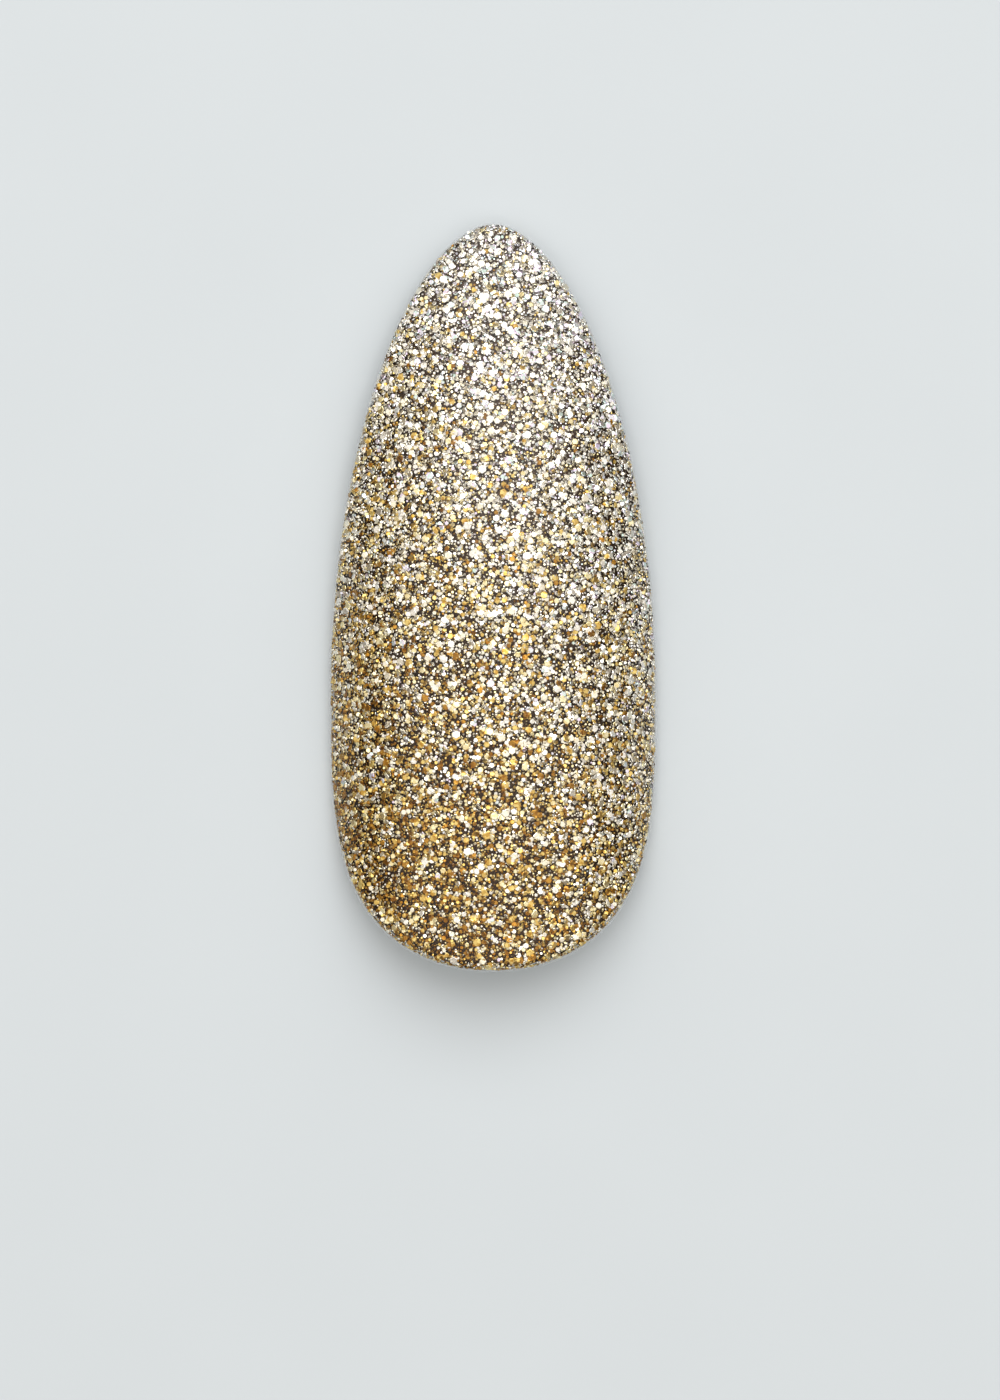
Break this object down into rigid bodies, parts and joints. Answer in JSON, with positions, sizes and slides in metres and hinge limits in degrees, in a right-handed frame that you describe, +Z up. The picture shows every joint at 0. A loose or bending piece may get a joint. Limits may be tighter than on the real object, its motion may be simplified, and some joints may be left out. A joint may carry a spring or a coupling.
{
  "type": "press-on nail",
  "caption": "Almond-shaped false nail tip under glitter gel coats, with an adhesive tab in its hollow underside and a pull-off release film.",
  "frame": {"origin": "centre of the bounding box at its foot: the table plane that the hollow side rests on", "axes": "+Z up out of the nail's face, +Y along the nail towards its tip, +X to the right with the tip pointing up the page"},
  "size_m": [0.011, 0.025, 0.0036],
  "materials": {
    "tip_shell": "moulded ABS, milky natural, satin inside",
    "base_coat": "cured clear gel",
    "colour_coat": "cured champagne gold gel colour",
    "glitter_coat": "cured gel packed with gold and silver glitter",
    "top_coat": "cured clear gel top coat, glossy",
    "tab_upper_adhesive": "clear soft pressure-sensitive adhesive",
    "tab_carrier_film": "clear polymer film",
    "tab_lower_adhesive": "clear soft pressure-sensitive adhesive",
    "release_film": "thin siliconised release film, pale blue tint"
  },
  "bodies": {
    "nail": {"tip_shell": "tip_shell", "base_coat": "base_coat", "colour_coat": "colour_coat", "glitter_coat": "glitter_coat", "top_coat": "top_coat", "tab_upper_adhesive": "tab_upper_adhesive", "tab_carrier_film": "tab_carrier_film", "tab_lower_adhesive": "tab_lower_adhesive"},
    "release_film": {"release_film": "release_film"}
  },
  "joints": [
    {"name": "film_pull", "type": "slide", "parent": "nail", "child": "release_film", "axis": [0, -1, 0], "range_m": [0, 0.017]}
  ]
}
